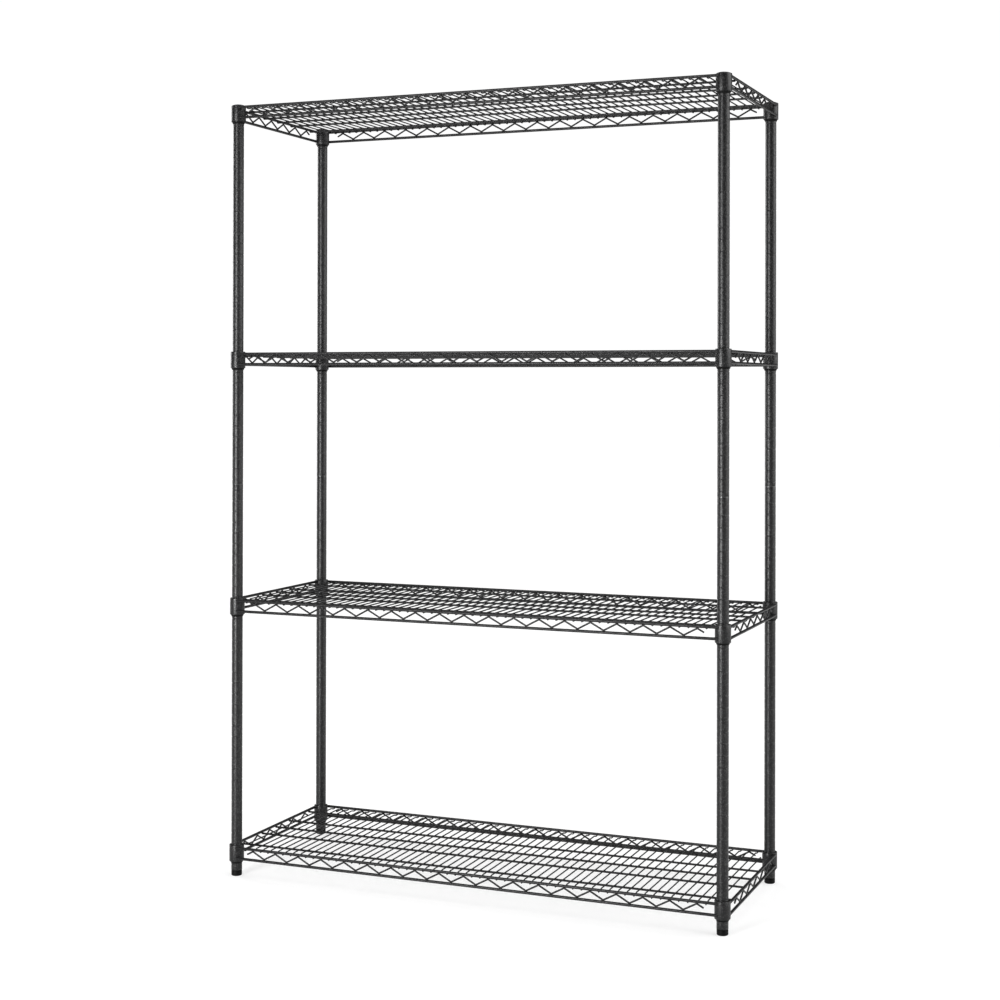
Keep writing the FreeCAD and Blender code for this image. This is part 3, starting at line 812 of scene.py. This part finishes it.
def make_posts():
    """Tubes, caps, feet and stems at the four corners; what is hidden keeps its CAD shape."""
    lower = tube_mesh("lower_post", "lower_post_front_right")
    upper = tube_mesh("upper_post", "upper_post_front_right")
    cap = cap_mesh()
    pad = pad_mesh()
    stem = stem_mesh()
    for corner in CORNERS:
        x, y = side(corner)
        at = (x * POST_X, y * POST_Y, 0)
        piece(f"lower_tube_{corner}", lower, POST_COAT, "root", f"lower_post_{corner}", at)
        piece(f"upper_tube_{corner}", upper, POST_COAT, "root", f"upper_post_{corner}", at)
        piece(f"cap_{corner}", cap, CAP_PLASTIC, "root", f"post_cap_{corner}", at)
        pad_node = f"foot_pad_{corner}"
        piece(f"pad_{corner}", pad, FOOT_PLASTIC, pad_node, pad_node, at)
        stem_node = f"foot_stem_{corner}"
        piece(f"stem_{corner}", stem, ZINC, stem_node, stem_node, at)
    hidden = {"foot_inserts": FOOT_PLASTIC, "joining_nuts": ZINC, "joining_studs": ZINC}
    for node, material in hidden.items():
        for material_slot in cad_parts[node].material_slots:
            material_slot.material = material


make_posts()
make_shelves()

# ------------------------------------------------------------------ studio


def make_floor():
    """A wide pale floor that glows faintly, so that shadows on it stay light."""
    skin = Skin()
    reach = 30.0
    rows = [[(-reach, y, 0), (reach, y, 0)] for y in (-reach, reach)]
    skin.grid(rows, closed=False, capped=False)
    floor = bpy.data.objects.new("floor", skin.mesh("floor"))
    bpy.context.scene.collection.objects.link(floor)
    m = Nodes("studio_floor", Roughness=0.9, Emission_Strength=0.64)
    m.shader.inputs["Emission Color"].default_value = (1, 1, 1, 1)
    m.set("Base Color", m.mix(m.noise(0.6, 2, 0.5), (0.29, 0.29, 0.29, 1), (0.31, 0.31, 0.31, 1)))
    floor.data.materials.append(m.material)


VIEW = math.radians(22.24)


def toward(turn, rise):
    """Unit vector from the object, turned from the camera's side and raised, in degrees."""
    around = math.radians(turn) + VIEW - math.pi / 2
    level = math.cos(math.radians(rise))
    return level * math.cos(around), level * math.sin(around), math.sin(math.radians(rise))


def soft_box(name, place, target, size, power):
    """A rectangular lamp that the camera doesn't see."""
    light = bpy.data.lights.new(name, "AREA")
    light.shape = "RECTANGLE"
    light.size = size[0]
    light.size_y = size[1]
    light.energy = power
    lamp = bpy.data.objects.new(name, light)
    lamp.location = place
    lamp.rotation_euler = (Vector(target) - Vector(place)).to_track_quat("-Z", "Y").to_euler()
    lamp.visible_camera = False
    bpy.context.scene.collection.objects.link(lamp)


def make_studio():
    """Distant soft boxes and two lamps; the camera sees plain white behind the object."""
    world = bpy.data.worlds.new("studio")
    bpy.context.scene.world = world
    world.use_nodes = True
    tree = world.node_tree
    nodes = tree.nodes
    links = tree.links
    look = nodes.new("ShaderNodeTexCoord").outputs["Generated"]
    # direction, degrees from it to the end of the full light and of the fading edge, strength
    boxes = (
        (toward(80, 0), 10, 44, 4.2),
        (toward(-135, 0), 8, 20, 6.0),
        ((0, 0, 1), 28, 50, 1.7),
    )
    # a flattened look vector makes the two side boxes taller than they are wide
    tall = nodes.new("ShaderNodeVectorMath")
    tall.operation = "MULTIPLY"
    tall.inputs[1].default_value = (1, 1, 0.45)
    links.new(look, tall.inputs[0])
    even = nodes.new("ShaderNodeVectorMath")
    even.operation = "NORMALIZE"
    links.new(tall.outputs[0], even.inputs[0])
    total = None
    for aim, inner, outer, strength in boxes:
        near = nodes.new("ShaderNodeVectorMath")
        near.operation = "DOT_PRODUCT"
        near.inputs[1].default_value = aim
        links.new(even.outputs[0] if aim[2] < 1 else look, near.inputs[0])
        fade = nodes.new("ShaderNodeMapRange")
        fade.interpolation_type = "SMOOTHSTEP"
        fade.inputs["From Min"].default_value = math.cos(math.radians(outer))
        fade.inputs["From Max"].default_value = math.cos(math.radians(inner))
        fade.inputs["To Min"].default_value = 0.0
        fade.inputs["To Max"].default_value = strength
        links.new(near.outputs["Value"], fade.inputs["Value"])
        if total is None:
            total = fade.outputs["Result"]
            continue
        add = nodes.new("ShaderNodeMath")
        add.operation = "ADD"
        links.new(total, add.inputs[0])
        links.new(fade.outputs["Result"], add.inputs[1])
        total = add.outputs[0]
    room = nodes.new("ShaderNodeMath")
    room.operation = "ADD"
    room.inputs[1].default_value = 0.10
    links.new(total, room.inputs[0])
    lit = nodes["Background"]
    links.new(room.outputs[0], lit.inputs["Strength"])
    lit.inputs["Color"].default_value = (1, 1, 1, 1)
    seen = nodes.new("ShaderNodeBackground")
    seen.inputs["Color"].default_value = (1, 1, 1, 1)
    seen.inputs["Strength"].default_value = 1.02
    path = nodes.new("ShaderNodeLightPath")
    pick = nodes.new("ShaderNodeMixShader")
    links.new(path.outputs["Is Camera Ray"], pick.inputs["Fac"])
    links.new(lit.outputs[0], pick.inputs[1])
    links.new(seen.outputs[0], pick.inputs[2])
    links.new(pick.outputs[0], nodes["World Output"].inputs["Surface"])
    bpy.context.scene.view_settings.view_transform = "Standard"
    bpy.context.scene.view_settings.gamma = 0.85
    centre = (CAD_LOW + CAD_HIGH) / 2
    soft_box("key", (-1.3, -4.1, 1.25), centre, (1.0, 2.6), 150)
    soft_box("low_key", (-1.3, -4.1, 0.4), (0, 0, 0.3), (1.0, 0.7), 62)


def make_camera():
    """Eye-level view from the right of the front, with a slight fall of the lens."""
    data = bpy.data.cameras.new("camera")
    data.sensor_width = 36.0
    data.lens = 63.29
    data.shift_y = -0.119
    data.clip_end = 200
    camera = bpy.data.objects.new("camera", data)
    bpy.context.scene.collection.objects.link(camera)
    camera.location = (1.565, -3.842, 1.161)
    camera.rotation_mode = "XYZ"
    pitch = math.radians(0.17)
    roll = math.radians(0.12)
    turn = Matrix.Rotation(VIEW, 4, "Z")
    turn = turn @ Matrix.Rotation(math.pi / 2 + pitch, 4, "X")
    turn = turn @ Matrix.Rotation(roll, 4, "Z")
    camera.rotation_euler = turn.to_euler("XYZ")
    bpy.context.scene.camera = camera


make_floor()
make_studio()
make_camera()
